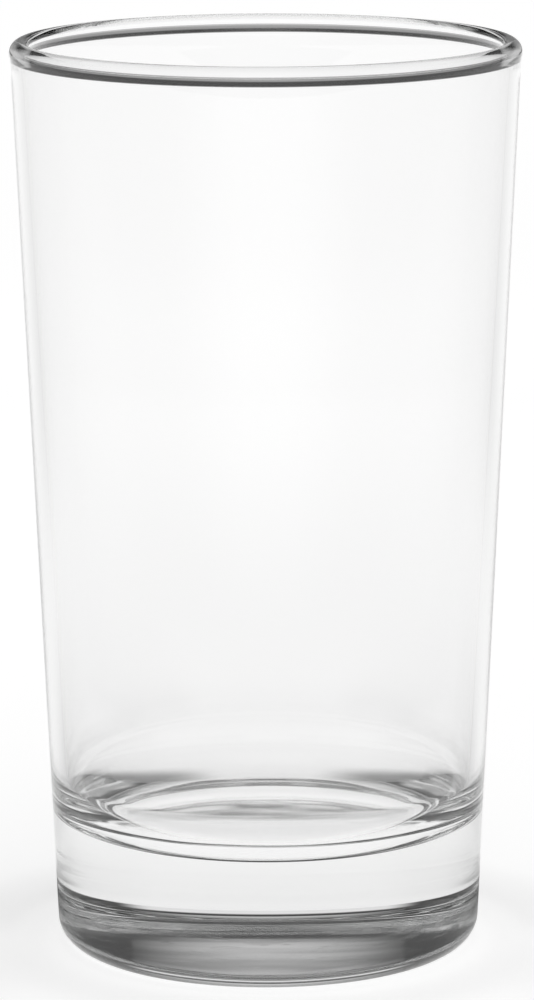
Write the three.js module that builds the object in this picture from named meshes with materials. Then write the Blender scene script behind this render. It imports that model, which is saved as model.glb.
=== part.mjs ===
// Clear straight-sided water glass: a tapered side wall, a rim rolled into a soft bead,
// and a heavy solid base. Millimetres, +Z up, standing on z = 0 with its axis on Z.
// The glass is one blown piece. Its three zones meet on flat rings square to the axis.
import * as THREE from 'three';

// Overall sizes
const HEIGHT = 124; // table to the top of the rim
const FOOT_RADIUS = 28.75; // straight outside of the wall, carried down to the table
const MOUTH_RADIUS = 34.25; // the same straight line, carried up to the rim

// Solid base
const FLOOR_HEIGHT = 16.8; // table to the inside floor
const FLOOR_CORNER = 8; // round between the inside floor and the wall
const HEEL_ROUND = 3.5; // round at the outer edge of the foot
const BEARING_WIDTH = 1.9; // flat ring that the glass stands on
const PUNT_DEPTH = 0.4; // hollow under the foot, at its middle
const WALL_OVER_CORNER = 1.2; // plain wall that the base zone keeps above its inside corner

// Wall thickness, measured level
const WALL_AT_FLOOR = 2.2;
const WALL_AT_RIM = 1.55;

// Rim bead, a drop in section
const BEAD_PROUD_OUTSIDE = 0.05; // how far the bead stands out of the outer wall's line at the rim
const BEAD_PROUD_INSIDE = 0.8; // and out of the inner wall's line there
const BEAD_TOP_INSIDE = 0.8; // round from the top of the bead to its inner face
const BEAD_TAPER = 2.4; // long round from the inner face back towards the wall
const BEAD_BLEND_OUTSIDE = 2; // hollow round that leads each wall face into the bead
const BEAD_BLEND_INSIDE = 0.3;
const WALL_UNDER_BEAD = 1.1; // plain wall that the rim zone keeps below its blends

// Facets
const TURN_STEPS = 72; // around the axis
const PUNT_STEPS = 6;
const HEEL_STEPS = 8;
const CORNER_STEPS = 10;
const BEAD_OUTER_STEPS = 7; // from the outer blend to the top of the bead
const BEAD_INNER_STEPS = 5; // on to its inner face
const BEAD_TAPER_STEPS = 5; // and down to the inner blend
const BLEND_OUTSIDE_STEPS = 5;
const BLEND_INSIDE_STEPS = 3;

// Clear soda-lime glass
const GLASS_COLOUR = 0xf3f6f5;
const GLASS_ROUGHNESS = 0.03;
const GLASS_OPACITY = 0.35;

// A section point is (radius, height)
const sectionPoint = (radius, height) => new THREE.Vector2(radius, height);

// Points of a round stretch, angles from the radius direction towards +Z
function arcPoints(centre, radius, fromAngle, toAngle, steps) {
  const points = [];
  for (let step = 0; step <= steps; step += 1) {
    const angle = THREE.MathUtils.lerp(fromAngle, toAngle, step / steps);
    points.push(sectionPoint(
      centre.x + radius * Math.cos(angle),
      centre.y + radius * Math.sin(angle),
    ));
  }
  return points;
}

// The wall's two straight faces: radius at a height, and lean from upright
const outerSlope = (MOUTH_RADIUS - FOOT_RADIUS) / HEIGHT;
const innerSlope = outerSlope + (WALL_AT_FLOOR - WALL_AT_RIM) / (HEIGHT - FLOOR_HEIGHT);
const outerLean = Math.atan(outerSlope);
const innerLean = Math.atan(innerSlope);
const outerRadius = (height) => FOOT_RADIUS + outerSlope * height;
const innerRadius = (height) => MOUTH_RADIUS - WALL_AT_RIM - innerSlope * (HEIGHT - height);

// Rim bead: three rounds that run into each other, over the wall's thickness and proud of it
const beadOuterFace = MOUTH_RADIUS + BEAD_PROUD_OUTSIDE;
const beadInnerFace = MOUTH_RADIUS - WALL_AT_RIM - BEAD_PROUD_INSIDE;
const beadTop = beadInnerFace + BEAD_TOP_INSIDE;
const outerRound = beadOuterFace - beadTop;
const outerCentre = sectionPoint(beadTop, HEIGHT - outerRound);
const innerCentre = sectionPoint(beadTop, HEIGHT - BEAD_TOP_INSIDE);
const taperCentre = sectionPoint(beadInnerFace + BEAD_TAPER, HEIGHT - BEAD_TOP_INSIDE);

// Hollow round that touches one wall face and a round of the bead, below the bead.
// side is 1 on the outer face and -1 on the inner one.
function beadBlend(side, lean, faceRadius, beadCentre, beadRound, blend) {
  const outOfGlass = sectionPoint(side * Math.cos(lean), -side * Math.sin(lean));
  const upTheWall = sectionPoint(Math.sin(lean), Math.cos(lean));
  const facePoint = sectionPoint(faceRadius(beadCentre.y), beadCentre.y);
  const faceToBead = beadCentre.clone().sub(facePoint);
  const reach = beadRound + blend;
  const across = blend - faceToBead.dot(outOfGlass);
  const down = Math.sqrt(reach * reach - across * across);
  const centre = beadCentre.clone();
  centre.addScaledVector(outOfGlass, across);
  centre.addScaledVector(upTheWall, -down);
  const foot = centre.clone().addScaledVector(outOfGlass, -blend);
  const towardsBead = beadCentre.clone().sub(centre).angle();
  const towardsFace = outOfGlass.clone().negate().angle();
  return { centre, foot, towardsBead, towardsFace };
}

const outerBlend = beadBlend(
  1, outerLean, outerRadius, outerCentre, outerRound, BEAD_BLEND_OUTSIDE);
const innerBlend = beadBlend(
  -1, innerLean, innerRadius, taperCentre, BEAD_TAPER, BEAD_BLEND_INSIDE);

// Heights where the zones meet
const baseTop = FLOOR_HEIGHT + FLOOR_CORNER + WALL_OVER_CORNER;
const rimBottom = Math.min(outerBlend.foot.y, innerBlend.foot.y) - WALL_UNDER_BEAD;

// Half section of the base, from the axis under the foot to the axis on the floor
function baseSection() {
  const heelCentre = sectionPoint(
    outerRadius(HEEL_ROUND) - HEEL_ROUND / Math.cos(outerLean),
    HEEL_ROUND,
  );
  const puntRadius = heelCentre.x - BEARING_WIDTH;
  const puntCurve = (puntRadius ** 2 + PUNT_DEPTH ** 2) / (2 * PUNT_DEPTH);
  const puntCentre = sectionPoint(0, PUNT_DEPTH - puntCurve);
  const puntEdge = Math.asin((puntCurve - PUNT_DEPTH) / puntCurve);
  const cornerHeight = FLOOR_HEIGHT + FLOOR_CORNER;
  const cornerCentre = sectionPoint(
    innerRadius(cornerHeight) - FLOOR_CORNER / Math.cos(innerLean),
    cornerHeight,
  );
  const under = arcPoints(puntCentre, puntCurve, Math.PI / 2, puntEdge, PUNT_STEPS);
  under[0].x = 0;
  return [
    ...under,
    ...arcPoints(heelCentre, HEEL_ROUND, -Math.PI / 2, -outerLean, HEEL_STEPS),
    sectionPoint(outerRadius(baseTop), baseTop),
    sectionPoint(innerRadius(baseTop), baseTop),
    ...arcPoints(cornerCentre, FLOOR_CORNER, -innerLean, -Math.PI / 2, CORNER_STEPS),
    sectionPoint(0, FLOOR_HEIGHT),
  ];
}

// Section of the plain wall between the base and the rim
function wallSection() {
  return [
    sectionPoint(innerRadius(baseTop), baseTop),
    sectionPoint(outerRadius(baseTop), baseTop),
    sectionPoint(outerRadius(rimBottom), rimBottom),
    sectionPoint(innerRadius(rimBottom), rimBottom),
    sectionPoint(innerRadius(baseTop), baseTop),
  ];
}

// Section of the rim: wall, outer blend, over the bead, inner blend, back to the wall
function rimSection() {
  const fullTurn = 2 * Math.PI;
  const up = Math.PI / 2;
  const inward = Math.PI;
  const beadStart = outerBlend.towardsBead - Math.PI;
  const beadEnd = innerBlend.towardsBead + Math.PI;
  const outside = arcPoints(outerBlend.centre, BEAD_BLEND_OUTSIDE,
    outerBlend.towardsFace, outerBlend.towardsBead, BLEND_OUTSIDE_STEPS);
  const beadOutside = arcPoints(outerCentre, outerRound, beadStart, up, BEAD_OUTER_STEPS);
  const beadInside = arcPoints(innerCentre, BEAD_TOP_INSIDE, up, inward, BEAD_INNER_STEPS);
  const taper = arcPoints(taperCentre, BEAD_TAPER, inward, beadEnd, BEAD_TAPER_STEPS);
  const inside = arcPoints(innerBlend.centre, BEAD_BLEND_INSIDE,
    innerBlend.towardsBead, innerBlend.towardsFace - fullTurn, BLEND_INSIDE_STEPS);
  return [
    sectionPoint(innerRadius(rimBottom), rimBottom),
    sectionPoint(outerRadius(rimBottom), rimBottom),
    ...outside,
    ...beadOutside.slice(1),
    ...beadInside.slice(1),
    ...taper.slice(1),
    ...inside.slice(1),
    sectionPoint(innerRadius(rimBottom), rimBottom),
  ];
}

// A zone of the glass: its section turned about the axis and stood upright
function glassZone(name, section) {
  const geometry = new THREE.LatheGeometry(section, TURN_STEPS);
  geometry.rotateX(Math.PI / 2);
  const material = new THREE.MeshStandardMaterial({
    color: GLASS_COLOUR,
    roughness: GLASS_ROUGHNESS,
    metalness: 0,
    transparent: true,
    opacity: GLASS_OPACITY,
  });
  const mesh = new THREE.Mesh(geometry, material);
  mesh.name = name;
  return mesh;
}

const waterGlass = new THREE.Group();
waterGlass.name = 'water_glass';
waterGlass.add(glassZone('solid_base', baseSection()));
waterGlass.add(glassZone('side_wall', wallSection()));
waterGlass.add(glassZone('rim_bead', rimSection()));

export default waterGlass;
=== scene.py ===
import bpy
import math
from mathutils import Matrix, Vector


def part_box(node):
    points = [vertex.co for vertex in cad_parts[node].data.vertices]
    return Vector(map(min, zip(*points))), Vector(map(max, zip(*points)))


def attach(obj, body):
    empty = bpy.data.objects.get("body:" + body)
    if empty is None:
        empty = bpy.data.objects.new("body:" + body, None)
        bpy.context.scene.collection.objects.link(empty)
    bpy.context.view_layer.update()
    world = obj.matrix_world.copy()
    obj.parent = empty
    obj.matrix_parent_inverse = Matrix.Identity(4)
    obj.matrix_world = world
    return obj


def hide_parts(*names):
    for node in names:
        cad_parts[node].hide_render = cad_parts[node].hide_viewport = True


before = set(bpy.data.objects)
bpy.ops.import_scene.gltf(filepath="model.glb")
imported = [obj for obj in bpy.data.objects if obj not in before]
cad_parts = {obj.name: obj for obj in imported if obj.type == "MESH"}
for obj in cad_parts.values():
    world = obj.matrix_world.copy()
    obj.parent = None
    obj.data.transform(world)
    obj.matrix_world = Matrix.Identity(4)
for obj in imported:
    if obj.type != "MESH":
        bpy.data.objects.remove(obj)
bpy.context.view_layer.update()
mm = 0.001

scene = bpy.context.scene
scene.view_settings.view_transform = "Standard"
lightBounces = 64  # light runs round inside the bead and the thick base many times
scene.cycles.max_bounces = lightBounces
scene.cycles.transmission_bounces = lightBounces
scene.cycles.glossy_bounces = lightBounces


# camera: a long lens, looking a little down on the rim
cameraSetup = {
    "lens": 186.45,  # mm
    "sensor": 36,  # mm
    "clipStart": 0.01,
    "back": 690.45 * mm,  # level distance from the glass's axis
    "height": 199.07 * mm,
    "tiltDown": 0.1971,
    "roll": -0.0029,
}


def makeCamera():
    bpy.ops.object.camera_add(location=(0, -cameraSetup["back"], cameraSetup["height"]))
    camera = bpy.context.object
    camera.name = "photoCamera"
    camera.data.lens = cameraSetup["lens"]
    camera.data.sensor_width = cameraSetup["sensor"]
    camera.data.clip_start = cameraSetup["clipStart"]
    camera.rotation_euler = (math.pi / 2 - cameraSetup["tiltDown"], 0, 0)
    camera.rotation_euler.rotate_axis("Z", cameraSetup["roll"])
    scene.camera = camera
    print("camera set")


# glass: sizes that the frame doesn't give, all in mm
glassSizes = {
    "floorHeight": 16.8,
    "floorCorner": 8.0,
    "heelRound": 3.5,
    "bearingWidth": 1.9,
    "puntDepth": 0.4,
    "wallAtFloor": 2.2,
    "wallAtRim": 1.55,
    "beadProudInside": 0.8,  # from the inner wall's line at the rim
    "beadTopInside": 0.8,
    "beadTaper": 2.4,
    "beadBlendOutside": 2.0,
    "beadBlendInside": 0.3,
    "mergeWithin": 0.001,
}
# steps along the section, and round the axis
glassSteps = {
    "hollow": 40, "ring": 4, "heel": 24, "outerWall": 40, "outerBlend": 8,
    "beadOutside": 28, "beadInside": 18, "beadTaper": 18,
    "innerBlend": 10, "innerWall": 40, "corner": 36, "floor": 24, "turn": 256,
}


def roundStretch(centre, radius, fromAngle, toAngle, steps):
    points = []
    for step in range(steps + 1):
        angle = fromAngle + (toAngle - fromAngle) * step / steps
        points.append(centre + radius * Vector((math.cos(angle), math.sin(angle))))
    return points


def straightStretch(start, end, steps):
    return [start.lerp(end, step / steps) for step in range(1, steps)]


def glassSection():
    sizes = {name: value * mm for name, value in glassSizes.items()}
    wallLow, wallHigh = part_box("solid_base")[1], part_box("side_wall")[1]
    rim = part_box("rim_bead")[1]
    outerSlope = (wallHigh.x - wallLow.x) / (wallHigh.z - wallLow.z)
    thinning = sizes["wallAtFloor"] - sizes["wallAtRim"]
    innerSlope = outerSlope + thinning / (rim.z - sizes["floorHeight"])
    outerLean, innerLean = math.atan(outerSlope), math.atan(innerSlope)

    def outerRadius(z):
        return wallLow.x + outerSlope * (z - wallLow.z)

    def innerRadius(z):
        return outerRadius(rim.z) - sizes["wallAtRim"] - innerSlope * (rim.z - z)

    # foot: hollow under it, flat ring, round heel
    heel = sizes["heelRound"]
    heelCentre = Vector((outerRadius(heel) - heel / math.cos(outerLean), heel))
    puntRadius = heelCentre.x - sizes["bearingWidth"]
    puntCurve = (puntRadius ** 2 + sizes["puntDepth"] ** 2) / (2 * sizes["puntDepth"])
    puntCentre = Vector((0, sizes["puntDepth"] - puntCurve))
    puntEdge = math.asin((puntCurve - sizes["puntDepth"]) / puntCurve)
    under = roundStretch(puntCentre, puntCurve, math.pi / 2, puntEdge, glassSteps["hollow"])
    under[0].x = 0
    ring = straightStretch(Vector((puntRadius, 0)), Vector((heelCentre.x, 0)), glassSteps["ring"])
    heelArc = roundStretch(heelCentre, heel, -math.pi / 2, -outerLean, glassSteps["heel"])

    # rim: a drop-shaped bead of three rounds, led in by two hollow rounds
    innerFace = outerRadius(rim.z) - sizes["wallAtRim"] - sizes["beadProudInside"]
    topInside, taper = sizes["beadTopInside"], sizes["beadTaper"]
    topOutside = rim.x - innerFace - topInside
    outerCentre = Vector((innerFace + topInside, rim.z - topOutside))
    innerCentre = Vector((innerFace + topInside, rim.z - topInside))
    taperCentre = Vector((innerFace + taper, rim.z - topInside))

    def blend(side, lean, faceRadius, beadCentre, beadRound, size):
        outOfGlass = Vector((side * math.cos(lean), -side * math.sin(lean)))
        upTheWall = Vector((math.sin(lean), math.cos(lean)))
        toBead = beadCentre - Vector((faceRadius(beadCentre.y), beadCentre.y))
        reach = beadRound + size
        across = size - toBead.dot(outOfGlass)
        centre = beadCentre + across * outOfGlass - math.sqrt(reach ** 2 - across ** 2) * upTheWall
        towardsFace = math.atan2(-outOfGlass.y, -outOfGlass.x)
        towardsBead = math.atan2(beadCentre.y - centre.y, beadCentre.x - centre.x)
        return centre, towardsFace, towardsBead

    outCentre, outFace, outBead = blend(
        1, outerLean, outerRadius, outerCentre, topOutside, sizes["beadBlendOutside"])
    inCentre, inFace, inBead = blend(
        -1, innerLean, innerRadius, taperCentre, taper, sizes["beadBlendInside"])
    if outFace < 0:
        outFace += 2 * math.pi
    outArc = roundStretch(
        outCentre, sizes["beadBlendOutside"], outFace, outBead, glassSteps["outerBlend"])
    up = math.pi / 2
    beadArc = roundStretch(outerCentre, topOutside, outBead - math.pi, up, glassSteps["beadOutside"])
    beadArc += roundStretch(innerCentre, topInside, up, math.pi, glassSteps["beadInside"])[1:]
    beadArc += roundStretch(taperCentre, taper, math.pi, inBead + math.pi, glassSteps["beadTaper"])[1:]
    inArc = roundStretch(
        inCentre, sizes["beadBlendInside"], inBead, inFace, glassSteps["innerBlend"])

    # inside: wall, round corner, floor
    corner = sizes["floorCorner"]
    cornerHeight = sizes["floorHeight"] + corner
    cornerCentre = Vector((innerRadius(cornerHeight) - corner / math.cos(innerLean), cornerHeight))
    cornerArc = roundStretch(cornerCentre, corner, -innerLean, -math.pi / 2, glassSteps["corner"])
    floorMiddle = Vector((0, sizes["floorHeight"]))
    return (
        under + ring + heelArc
        + straightStretch(heelArc[-1], outArc[0], glassSteps["outerWall"])
        + outArc + beadArc[1:] + inArc[1:]
        + straightStretch(inArc[-1], cornerArc[0], glassSteps["innerWall"])
        + cornerArc
        + straightStretch(cornerArc[-1], floorMiddle, glassSteps["floor"]) + [floorMiddle]
    )


def makeGlass():
    section = [Vector((point.x, 0, point.y)) for point in glassSection()]
    bpy.ops.object.select_all(action="DESELECT")
    bpy.ops.mesh.primitive_plane_add(size=mm, location=section[0])
    glass = bpy.context.object
    glass.name = "waterGlass"
    bpy.ops.object.transform_apply(location=True, rotation=True, scale=True)
    bpy.ops.object.mode_set(mode="EDIT")
    bpy.ops.mesh.merge(type="CENTER")
    for here, after in zip(section, section[1:]):
        bpy.ops.mesh.extrude_region_move(TRANSFORM_OT_translate={"value": after - here})
    bpy.ops.mesh.select_all(action="SELECT")
    bpy.ops.mesh.spin(steps=glassSteps["turn"], angle=2 * math.pi, center=(0, 0, 0), axis=(0, 0, 1))
    bpy.ops.mesh.select_all(action="SELECT")
    bpy.ops.mesh.remove_doubles(threshold=glassSizes["mergeWithin"] * mm)
    bpy.ops.mesh.normals_make_consistent(inside=False)
    bpy.ops.object.mode_set(mode="OBJECT")
    bpy.ops.object.shade_smooth()
    print("glass turned,", len(section), "section points,", len(glass.data.polygons), "faces")
    return glass


def mathNode(tree, operation, first, second=None):
    node = tree.nodes.new("ShaderNodeMath")
    node.operation = operation
    for socket, value in zip(node.inputs, (first, second)):
        if isinstance(value, bpy.types.NodeSocket):
            tree.links.new(value, socket)
        elif value is not None:
            socket.default_value = value
    return node.outputs[0]


def softStep(tree, value, start, end, low=0.0, high=1.0):
    node = tree.nodes.new("ShaderNodeMapRange")
    node.interpolation_type = "SMOOTHSTEP"
    tree.links.new(value, node.inputs["Value"])
    settings = {"From Min": start, "From Max": end, "To Min": low, "To Max": high}
    for name, setting in settings.items():
        node.inputs[name].default_value = setting
    return node.outputs[0]


# glass finish: clear, with a trace of absorption; pressed surfaces are a little uneven
glassFinish = {
    "ior": 1.5,
    "absorption": (0.9885, 0.989, 0.9886),
    "density": 80.0,  # per metre
    "waveDetail": 1.0,
    "wallWave": 0.004 * mm,
    "wallWaveSize": 22 * mm,
    "wallStretch": (1, 1, 0.3),
    "floorWave": 0.25 * mm,
    "floorWaveSize": 16 * mm,
    "floorStretch": (1, 1, 1),
    "floorBelow": (22 * mm, 17.5 * mm),  # the inside floor and its corner, by height and radius
    "floorAbove": (8 * mm, 9 * mm),
    "floorWithin": (27.6 * mm, 27.2 * mm),
    "underWave": 0.12 * mm,
    "underWaveSize": 9 * mm,
    "underStretch": (0.6, 1.2, 1),
    "underBelow": (2 * mm, 1.5 * mm),  # the hollow under the foot
    "underWithin": (24 * mm, 21 * mm),
    "underRoughness": 0.09,
    "wornHeight": (1.5 * mm, 3 * mm, 6.5 * mm, 9 * mm),  # scuffed band above the heel
    "scuffSize": 6 * mm,
    "scuffStretch": (0.7, 0.7, 7),
    "scuffFrom": (0.57, 0.68),
    "scuffRoughness": 0.22,
    "scratchSize": 3 * mm,
    "scratchStretch": (0.6, 0.6, 6),
    "scratchFrom": (0.66, 0.7),
    "scratchDepth": 0.003 * mm,
}


def waves(tree, place, size, stretch):
    scaling = tree.nodes.new("ShaderNodeVectorMath")
    scaling.operation = "MULTIPLY"
    tree.links.new(place, scaling.inputs[0])
    scaling.inputs[1].default_value = stretch
    noise = tree.nodes.new("ShaderNodeTexNoise")
    tree.links.new(scaling.outputs[0], noise.inputs["Vector"])
    noise.inputs["Scale"].default_value = 1 / size
    noise.inputs["Detail"].default_value = glassFinish["waveDetail"]
    return noise.outputs[0]


def glassMaterial():
    material = bpy.data.materials.new("clearGlass")
    material.use_nodes = True
    tree = material.node_tree
    nodes, links = tree.nodes, tree.links
    shader = nodes["Principled BSDF"]
    shader.inputs["Base Color"].default_value = (1, 1, 1, 1)
    shader.inputs["IOR"].default_value = glassFinish["ior"]
    shader.inputs["Transmission Weight"].default_value = 1.0
    place = nodes.new("ShaderNodeTexCoord").outputs["Object"]
    split = nodes.new("ShaderNodeSeparateXYZ")
    links.new(place, split.inputs[0])
    level = nodes.new("ShaderNodeVectorMath")
    level.operation = "MULTIPLY"
    links.new(place, level.inputs[0])
    level.inputs[1].default_value = (1, 1, 0)
    distance = nodes.new("ShaderNodeVectorMath")
    distance.operation = "LENGTH"
    links.new(level.outputs[0], distance.inputs[0])
    radius, height = distance.outputs["Value"], split.outputs["Z"]

    # where: inside floor and corner, underside, the rest
    floorShare = softStep(tree, height, *glassFinish["floorBelow"])
    for value, fade in ((height, "floorAbove"), (radius, "floorWithin")):
        within = softStep(tree, value, *glassFinish[fade])
        floorShare = mathNode(tree, "MULTIPLY", floorShare, within)
    underShare = mathNode(
        tree, "MULTIPLY", softStep(tree, height, *glassFinish["underBelow"]),
        softStep(tree, radius, *glassFinish["underWithin"]))
    relief = mathNode(
        tree, "MULTIPLY", waves(tree, place, glassFinish["wallWaveSize"], glassFinish["wallStretch"]),
        glassFinish["wallWave"])
    for share, zone in ((floorShare, "floor"), (underShare, "under")):
        depth = waves(tree, place, glassFinish[zone + "WaveSize"], glassFinish[zone + "Stretch"])
        depth = mathNode(tree, "MULTIPLY", depth, glassFinish[zone + "Wave"])
        relief = mathNode(tree, "ADD", relief, mathNode(tree, "MULTIPLY", depth, share))
    start, full, fall, end = glassFinish["wornHeight"]
    wornShare = mathNode(
        tree, "MULTIPLY", softStep(tree, height, start, full),
        softStep(tree, height, fall, end, 1.0, 0.0))
    marks = {}
    for mark in ("scuff", "scratch"):
        pattern = waves(tree, place, glassFinish[mark + "Size"], glassFinish[mark + "Stretch"])
        pattern = softStep(tree, pattern, *glassFinish[mark + "From"])
        marks[mark] = mathNode(tree, "MULTIPLY", pattern, wornShare)
    scratches = mathNode(tree, "MULTIPLY", marks["scratch"], glassFinish["scratchDepth"])
    relief = mathNode(tree, "SUBTRACT", relief, scratches)
    bump = nodes.new("ShaderNodeBump")
    bump.inputs["Distance"].default_value = 1.0
    links.new(relief, bump.inputs["Height"])
    links.new(bump.outputs[0], shader.inputs["Normal"])
    roughness = mathNode(
        tree, "ADD", mathNode(tree, "MULTIPLY", underShare, glassFinish["underRoughness"]),
        mathNode(tree, "MULTIPLY", marks["scuff"], glassFinish["scuffRoughness"]))
    links.new(roughness, shader.inputs["Roughness"])
    absorption = nodes.new("ShaderNodeVolumeAbsorption")
    absorption.inputs["Color"].default_value = (*glassFinish["absorption"], 1)
    absorption.inputs["Density"].default_value = glassFinish["density"]
    links.new(absorption.outputs[0], nodes["Material Output"].inputs["Volume"])
    return material


# floor: white behind the glass and under it, greyer to the sides; painted shadows round the foot and
# painted light below it
# radii in metres
floorLook = {
    "radius": 6.0,
    "edges": 128,
    "below": 0.02 * mm,  # under the foot, so that the two never touch
    "glow": 0.8,  # what the white part gives of itself; the lamp gives the rest
    "paint": 0.333,
    "paintedUnderLight": 1.14,  # painted light: the floor below the foot made brighter, where the foot would gather light
    "underRadius": (0.0265, 0.029),
    "paintedFootLight": 0.98,  # painted light near the foot that makes up for the glass's own shadow
    "footRadius": (0.05, 0.12),
    # painted shade: the floor a little darker at middle distance than far behind
    "nearLevel": 0.92,
    "nearToFar": (0.18, 0.4),
    "farLevel": 1.0,
    "farSide": 0.75,
    "farFold": (10, 52),  # degrees from the line that runs front to back
    "frontLevel": 0.95,
    "frontFade": (-0.15, 0.0),
    "seenLevel": 1.0,  # as the camera sees it, nowhere darker than this but for the shade
}
# painted shadows on the floor: where each starts, is full, falls and ends, by radius and by degrees
# from straight behind
floorShades = {
    "ring": {"radius": (0.028, 0.033, 0.036, 0.044), "bearing": (8, 22, 180, 200), "depth": 0.65},
    "nearSides": {"radius": (0.033, 0.038, 0.042, 0.05), "bearing": (24, 40, 75, 95), "depth": 0.7},
    "sides": {"radius": (0.038, 0.044, 0.06, 0.08), "bearing": (56, 74, 112, 135), "depth": 0.6},
    "farSides": {"radius": (0.03, 0.05, 0.06, 0.26), "bearing": (36, 64, 110, 140), "depth": 0.4},
    "front": {"radius": (0.03, 0.036, 0.06, 0.09), "bearing": (90, 115, 180, 200), "depth": 0.35},
}
shadeSeen = 0.08  # share of the painted shadow that shows on the floor itself


def makeFloor():
    bpy.ops.object.select_all(action="DESELECT")
    bpy.ops.mesh.primitive_circle_add(
        vertices=floorLook["edges"], radius=floorLook["radius"], fill_type="NGON",
        location=(0, 0, -floorLook["below"]))
    floor = bpy.context.object
    floor.name = "paleFloor"
    bpy.ops.object.transform_apply(location=True, rotation=True, scale=True)
    material = bpy.data.materials.new("paleFloor")
    material.use_nodes = True
    tree = material.node_tree
    nodes, links = tree.nodes, tree.links
    nodes.remove(nodes["Principled BSDF"])
    place = nodes.new("ShaderNodeTexCoord")
    split = nodes.new("ShaderNodeSeparateXYZ")
    links.new(place.outputs["Object"], split.inputs[0])
    aside = mathNode(tree, "ABSOLUTE", split.outputs["X"])
    along = mathNode(tree, "ABSOLUTE", split.outputs["Y"])
    bearing = mathNode(tree, "DEGREES", mathNode(tree, "ARCTAN2", aside, split.outputs["Y"]))
    fold = mathNode(tree, "DEGREES", mathNode(tree, "ARCTAN2", aside, along))
    length = nodes.new("ShaderNodeVectorMath")
    length.operation = "LENGTH"
    links.new(place.outputs["Object"], length.inputs[0])
    distance = length.outputs["Value"]
    # painted light below the foot, then painted light at the foot and painted shade beyond it
    under = softStep(
        tree, distance, *floorLook["underRadius"],
        floorLook["paintedUnderLight"] / floorLook["paintedFootLight"], 1.0)
    near = softStep(
        tree, distance, *floorLook["footRadius"], floorLook["paintedFootLight"], floorLook["nearLevel"])
    near = mathNode(tree, "MULTIPLY", near, under)
    far = softStep(tree, fold, *floorLook["farFold"], floorLook["farLevel"], floorLook["farSide"])
    farShare = softStep(tree, distance, *floorLook["nearToFar"])
    nearShare = mathNode(tree, "SUBTRACT", 1.0, farShare)
    share = mathNode(
        tree, "ADD", mathNode(tree, "MULTIPLY", near, nearShare),
        mathNode(tree, "MULTIPLY", far, farShare))
    front = softStep(tree, split.outputs["Y"], *floorLook["frontFade"], floorLook["frontLevel"], 1.0)
    share = mathNode(tree, "MULTIPLY", share, front)
    lightPath = nodes.new("ShaderNodeLightPath")
    seen = mathNode(tree, "MULTIPLY", lightPath.outputs["Is Camera Ray"], floorLook["seenLevel"])
    share = mathNode(tree, "MAXIMUM", share, seen)
    shadeShare = softStep(tree, lightPath.outputs["Is Camera Ray"], 0.0, 1.0, 1.0, shadeSeen)
    # painted shadows round the foot, taken off the floor's glow and paint alike
    for shade in floorShades.values():
        depth = mathNode(tree, "MULTIPLY", shadeShare, shade["depth"])
        for value, (start, full, fall, end) in (
                (distance, shade["radius"]), (bearing, shade["bearing"])):
            depth = mathNode(tree, "MULTIPLY", depth, softStep(tree, value, start, full))
            depth = mathNode(tree, "MULTIPLY", depth, softStep(tree, value, fall, end, 1.0, 0.0))
        share = mathNode(tree, "MULTIPLY", share, mathNode(tree, "SUBTRACT", 1.0, depth))
    glow = nodes.new("ShaderNodeEmission")
    links.new(mathNode(tree, "MULTIPLY", share, floorLook["glow"]), glow.inputs["Strength"])
    paint = nodes.new("ShaderNodeBsdfDiffuse")
    links.new(mathNode(tree, "MULTIPLY", share, floorLook["paint"]), paint.inputs["Color"])
    both = nodes.new("ShaderNodeAddShader")
    links.new(glow.outputs[0], both.inputs[0])
    links.new(paint.outputs[0], both.inputs[1])
    links.new(both.outputs[0], nodes["Material Output"].inputs["Surface"])
    material.cycles.emission_sampling = "NONE"
    floor.data.materials.append(material)
    print("floor laid")


# cards: hung behind the glass, above the camera's view, where base and rim mirror them
# fades: start, end and the share of the level that is left; side runs from the card's middle
cardSetup = {
    "backCard": {
        "middle": (0.0, 0.42), "half": 0.214, "height": (0.0885, 0.235), "level": 0.56,
        "side": (0.0, 0.28, 0.1), "lower": (0.1, 0.15, 0.58), "upper": (0.18, 0.235, 0.15),
    },
    "leftCard": {
        "middle": (-0.1, 0.13), "half": 0.055, "height": (0.117, 0.155), "level": 0.75,
        "side": (0.03, 0.055, 0.5), "lower": (0.117, 0.155, 0.6), "upper": (0.143, 0.155, 0.3),
    },
    "rightCard": {
        "middle": (0.1, 0.13), "half": 0.055, "height": (0.117, 0.155), "level": 0.75,
        "side": (0.03, 0.055, 0.5), "lower": (0.117, 0.155, 0.6), "upper": (0.143, 0.155, 0.3),
    },
}


def makeCard(name, setup):
    low, high = setup["height"]
    middle, behind = setup["middle"]
    bpy.ops.object.select_all(action="DESELECT")
    bpy.ops.mesh.primitive_plane_add(
        size=1, location=(middle, behind, (low + high) / 2), rotation=(math.pi / 2, 0, 0))
    card = bpy.context.object
    card.name = name
    card.scale = (2 * setup["half"], high - low, 1)
    bpy.ops.object.transform_apply(location=True, rotation=True, scale=True)
    material = bpy.data.materials.new(name)
    material.use_nodes = True
    tree = material.node_tree
    nodes, links = tree.nodes, tree.links
    nodes.remove(nodes["Principled BSDF"])
    place = nodes.new("ShaderNodeTexCoord")
    split = nodes.new("ShaderNodeSeparateXYZ")
    links.new(place.outputs["Object"], split.inputs[0])
    aside = mathNode(tree, "ABSOLUTE", mathNode(tree, "SUBTRACT", split.outputs["X"], middle))
    level = setup["level"]
    upright = split.outputs["Z"]
    for value, fade in ((aside, "side"), (upright, "lower"), (upright, "upper")):
        start, end, left = setup[fade]
        level = mathNode(tree, "MULTIPLY", softStep(tree, value, start, end, 1.0, left), level)
    glow = nodes.new("ShaderNodeEmission")
    links.new(level, glow.inputs["Strength"])
    links.new(glow.outputs[0], nodes["Material Output"].inputs["Surface"])
    material.cycles.emission_sampling = "NONE"
    card.data.materials.append(material)
    card.visible_camera = False
    card.visible_shadow = False
    print("card hung,", name)


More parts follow.
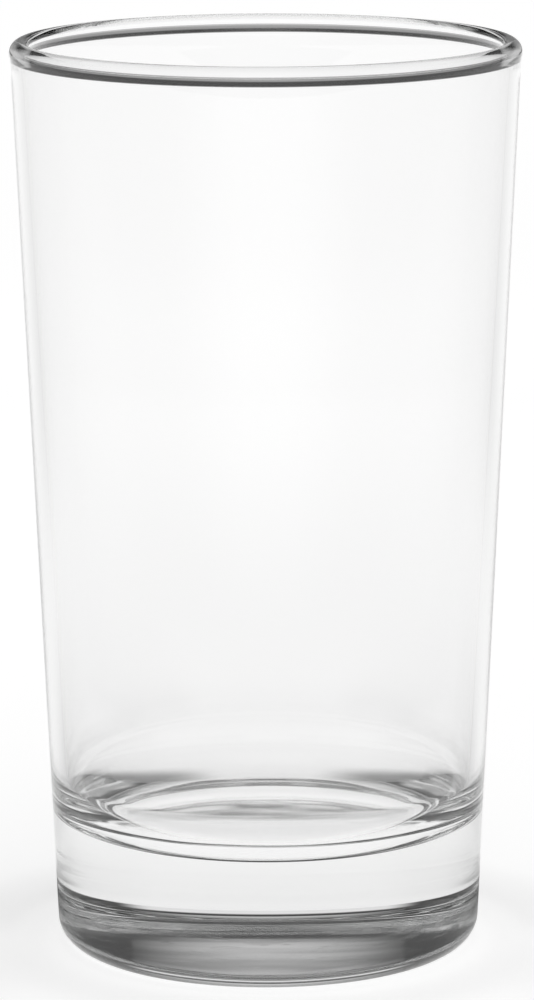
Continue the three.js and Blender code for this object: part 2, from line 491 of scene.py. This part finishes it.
# studio: what surrounds the glass, as soft panels seen from it
# bearing: degrees from straight behind, to either side; height: degrees above the floor
studioPanels = {
    "horizon": {"bearing": (-20, 28), "height": (-20, 6.5), "soft": (12, 3), "level": 0.75},
    "frontSoftbox": {"bearing": (108, 200), "height": (4, 33), "soft": (20, 10), "level": 0.4},
    "frontTop": {"bearing": (165, 200), "height": (30, 43), "soft": (16, 6), "level": 0.6},
    "rearSoftbox": {"bearing": (28, 60), "height": (44, 60), "soft": (12, 6), "level": 0.35},
}
roomLevel = 0.05  # the dark room round the panels
lampSetup = {"strength": 1.57, "angle": 60, "tilt": (0.25, 0.2), "height": 1.0}


def panelLevel(tree, bearing, height, panel):
    bearingSoft, heightSoft = panel["soft"]
    parts = []
    for value, (low, high), soft in (
            (bearing, panel["bearing"], bearingSoft), (height, panel["height"], heightSoft)):
        parts.append(softStep(tree, value, low - soft / 2, low + soft / 2))
        parts.append(softStep(tree, value, high - soft / 2, high + soft / 2, 1.0, 0.0))
    level = panel["level"]
    for part in parts:
        level = mathNode(tree, "MULTIPLY", part, level)
    return level


def makeWorld():
    world = bpy.data.worlds.new("studio")
    scene.world = world
    world.use_nodes = True
    tree = world.node_tree
    nodes, links = tree.nodes, tree.links
    direction = nodes.new("ShaderNodeTexCoord")
    split = nodes.new("ShaderNodeSeparateXYZ")
    links.new(direction.outputs["Generated"], split.inputs[0])
    aside = mathNode(tree, "ABSOLUTE", split.outputs["X"])
    bearing = mathNode(tree, "DEGREES", mathNode(tree, "ARCTAN2", aside, split.outputs["Y"]))
    height = mathNode(tree, "DEGREES", mathNode(tree, "ARCSINE", split.outputs["Z"]))
    level = roomLevel
    for panel in studioPanels.values():
        level = mathNode(tree, "ADD", panelLevel(tree, bearing, height, panel), level)
    lightPath = nodes.new("ShaderNodeLightPath")
    # white behind the floor's end
    level = mathNode(tree, "MAXIMUM", level, lightPath.outputs["Is Camera Ray"])
    nodes["Background"].inputs["Color"].default_value = (1, 1, 1, 1)
    links.new(level, nodes["Background"].inputs["Strength"])
    print("studio lit,", len(studioPanels), "panels")


def makeLamp():
    bpy.ops.object.light_add(type="SUN", location=(0, 0, lampSetup["height"]))
    lamp = bpy.context.object
    lamp.name = "softLamp"
    lamp.data.energy = lampSetup["strength"]
    lamp.data.angle = math.radians(lampSetup["angle"])
    lamp.rotation_euler = (*lampSetup["tilt"], 0)
    lamp.visible_glossy = False  # it only lights the floor
    lamp.visible_transmission = False
    print("lamp set")


makeCamera()
glass = makeGlass()
glass.data.materials.append(glassMaterial())
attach(glass, "root")
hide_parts("solid_base", "side_wall", "rim_bead")
makeFloor()
for cardName, setup in cardSetup.items():
    makeCard(cardName, setup)
makeWorld()
makeLamp()
